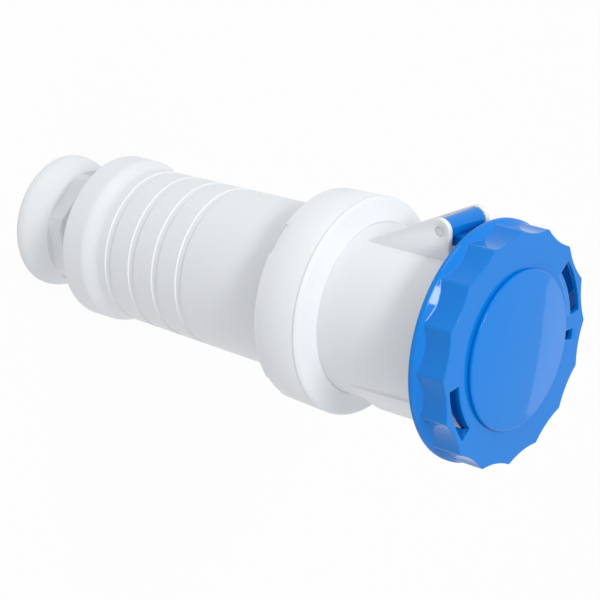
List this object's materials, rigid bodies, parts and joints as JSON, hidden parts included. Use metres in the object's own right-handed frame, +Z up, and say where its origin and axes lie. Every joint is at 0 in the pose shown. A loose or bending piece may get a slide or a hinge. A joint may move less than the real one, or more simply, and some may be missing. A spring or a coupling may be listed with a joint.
{
  "type": "industrial cable socket",
  "caption": "Round industrial cable connector with a hinged bayonet lid, contact insert, union ring, grooved handle and cable gland, without its cable.",
  "frame": {"origin": "on the surface that the gland nut stands on, on the connector's axis", "axes": "+Z up along the connector's axis towards the lid and the mating end, the hinge on the -X side"},
  "size_m": [0.1306, 0.13, 0.3291],
  "materials": {
    "grey_body": "satin",
    "blue_lid": "gloss",
    "dark_insert": "matte",
    "contact_brass": "satin",
    "black_rubber": "matte",
    "zinc_steel": "satin"
  },
  "bodies": {
    "housing": {"socket_housing": "grey_body", "sleeve_shelf": "grey_body", "contact_carrier": "dark_insert", "carrier_flange": "dark_insert", "phase_contact": "contact_brass", "neutral_contact": "contact_brass", "earth_contact": "contact_brass", "pilot_contact": "contact_brass", "contact_springs": "zinc_steel", "terminal_screws": "zinc_steel", "carrier_plate": "dark_insert", "carrier_screws": "zinc_steel", "plate_screws": "zinc_steel", "housing_seal": "black_rubber", "hinge_pin": "zinc_steel"},
    "lid": {"lid_disc": "blue_lid", "lid_seal": "black_rubber"},
    "ring": {"lock_ring": "blue_lid"},
    "union": {"union_ring": "grey_body"},
    "rear": {"handle": "grey_body", "gland_seal": "black_rubber"},
    "washer": {"friction_ring": "dark_insert"},
    "nut": {"gland_nut": "grey_body"}
  },
  "joints": [
    {"name": "lid_hinge", "type": "hinge", "parent": "housing", "child": "lid", "pos_m": [-0.0586, 0, 0.2857], "axis": [0, -1, 0], "range_deg": [0, 160]},
    {"name": "lock_turn", "type": "hinge", "parent": "lid", "child": "ring", "pos_m": [0, 0, 0.3253], "axis": [0, 0, -1], "range_deg": [0, 45]},
    {"name": "union_turn", "type": "hinge", "parent": "housing", "child": "union", "pos_m": [0, 0, 0.2321], "axis": [0, 0, 1], "range_deg": [0, 720]},
    {"name": "handle_slide", "type": "slide", "parent": "housing", "child": "rear", "axis": [0, 0, -1], "range_m": [0, 0.012]},
    {"name": "gland_slide", "type": "slide", "parent": "rear", "child": "washer", "axis": [0, 0, 1], "range_m": [-0.006, 0.006], "deforming": ["gland_seal"]},
    {"name": "gland_turn", "type": "hinge", "parent": "washer", "child": "nut", "pos_m": [0, 0, 0.0298], "axis": [0, 0, 1], "range_deg": [-540, 540]}
  ],
  "couplings": [
    {"joint": "handle_slide", "follows": "union_turn", "m_per_rad": 0.00095493},
    {"joint": "gland_slide", "follows": "gland_turn", "m_per_rad": 0.00063662}
  ]
}
